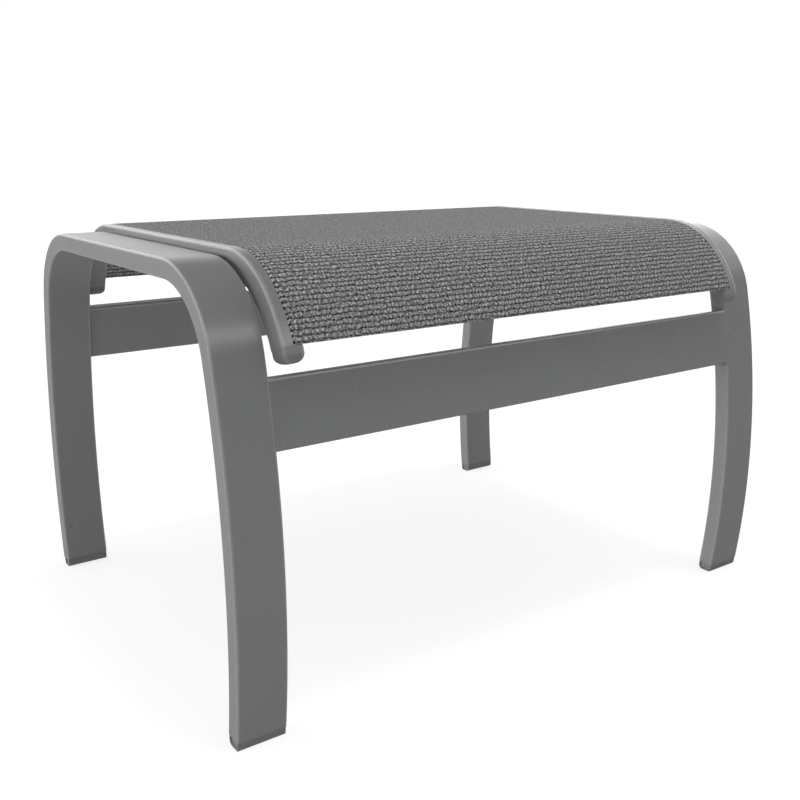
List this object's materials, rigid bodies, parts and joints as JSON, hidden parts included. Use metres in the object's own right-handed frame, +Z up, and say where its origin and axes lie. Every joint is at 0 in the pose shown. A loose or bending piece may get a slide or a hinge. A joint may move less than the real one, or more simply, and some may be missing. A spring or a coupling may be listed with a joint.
{
  "type": "outdoor ottoman footstool",
  "caption": "Low patio footstool with arched flat-tube side frames, stretchers between the legs and a woven sling held in curved rails.",
  "frame": {"origin": "on the floor, under the middle of the stool", "axes": "+Z up, +X from the left side frame to the right side frame, -Y towards the front, where the sling drops over one end of the rails"},
  "size_m": [0.714, 0.5232, 0.44],
  "materials": {
    "powder_coated_aluminium": "satin grey powder coat with a faint fine texture",
    "moulded_trim": "satin moulded plastic, a shade darker than the frame",
    "woven_sling": "coarse mesh of coated yarn in mixed light and dark greys",
    "spline_and_spacer": "dark extruded plastic",
    "plain_aluminium": "mill finish",
    "stainless_steel": "turned stainless steel"
  },
  "bodies": {
    "root": {"left_leg_frame": "powder_coated_aluminium", "right_leg_frame": "powder_coated_aluminium", "front_stretcher": "powder_coated_aluminium", "rear_stretcher": "powder_coated_aluminium", "left_sling_rail": "powder_coated_aluminium", "right_sling_rail": "powder_coated_aluminium", "front_left_glide": "moulded_trim", "rear_left_glide": "moulded_trim", "front_right_glide": "moulded_trim", "rear_right_glide": "moulded_trim", "front_left_rail_cap": "moulded_trim", "rear_left_rail_cap": "moulded_trim", "front_right_rail_cap": "moulded_trim", "rear_right_rail_cap": "moulded_trim", "sling": "woven_sling", "left_sling_spline": "spline_and_spacer", "right_sling_spline": "spline_and_spacer", "front_left_rail_spacer": "spline_and_spacer", "rear_left_rail_spacer": "spline_and_spacer", "front_right_rail_spacer": "spline_and_spacer", "rear_right_rail_spacer": "spline_and_spacer", "front_spreader_bar": "plain_aluminium", "rear_spreader_bar": "plain_aluminium", "front_left_rail_bolt": "stainless_steel", "rear_left_rail_bolt": "stainless_steel", "front_right_rail_bolt": "stainless_steel", "rear_right_rail_bolt": "stainless_steel", "front_left_threaded_insert": "stainless_steel", "rear_left_threaded_insert": "stainless_steel", "front_right_threaded_insert": "stainless_steel", "rear_right_threaded_insert": "stainless_steel"}
  },
  "joints": []
}
